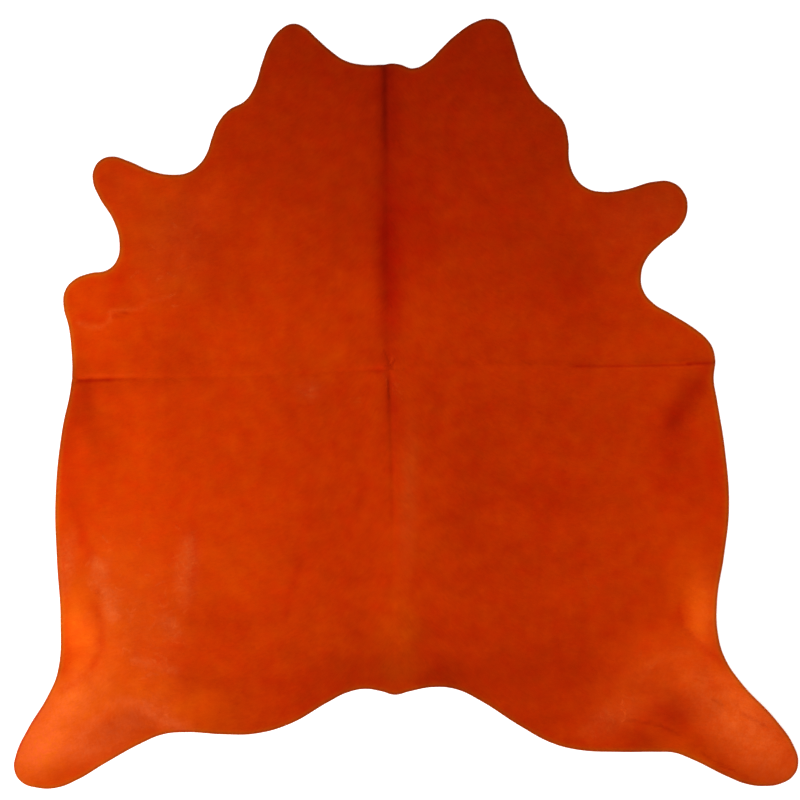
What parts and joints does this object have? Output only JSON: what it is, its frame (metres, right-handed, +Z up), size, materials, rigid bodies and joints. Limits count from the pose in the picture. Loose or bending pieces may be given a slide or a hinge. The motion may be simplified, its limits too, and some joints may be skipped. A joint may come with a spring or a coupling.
{
  "type": "dyed cowhide rug with its hair on",
  "caption": "Whole cowhide dyed orange with its short hair on, laid flat as a rug, with soft storage folds along the spine and across the middle.",
  "frame": {"origin": "middle of the hide's outline box, on the floor it lies on", "axes": "+Z up out of the hair side, +Y along the spine towards the neck, +X across the hide, to the right as seen from above"},
  "size_m": [2.1565, 2.1175, 0.0134],
  "materials": {
    "hair_hide": "short dyed orange hair lying flat, with a soft sheen, on tanned leather"
  },
  "bodies": {
    "root": {"hide": "hair_hide"}
  },
  "joints": []
}
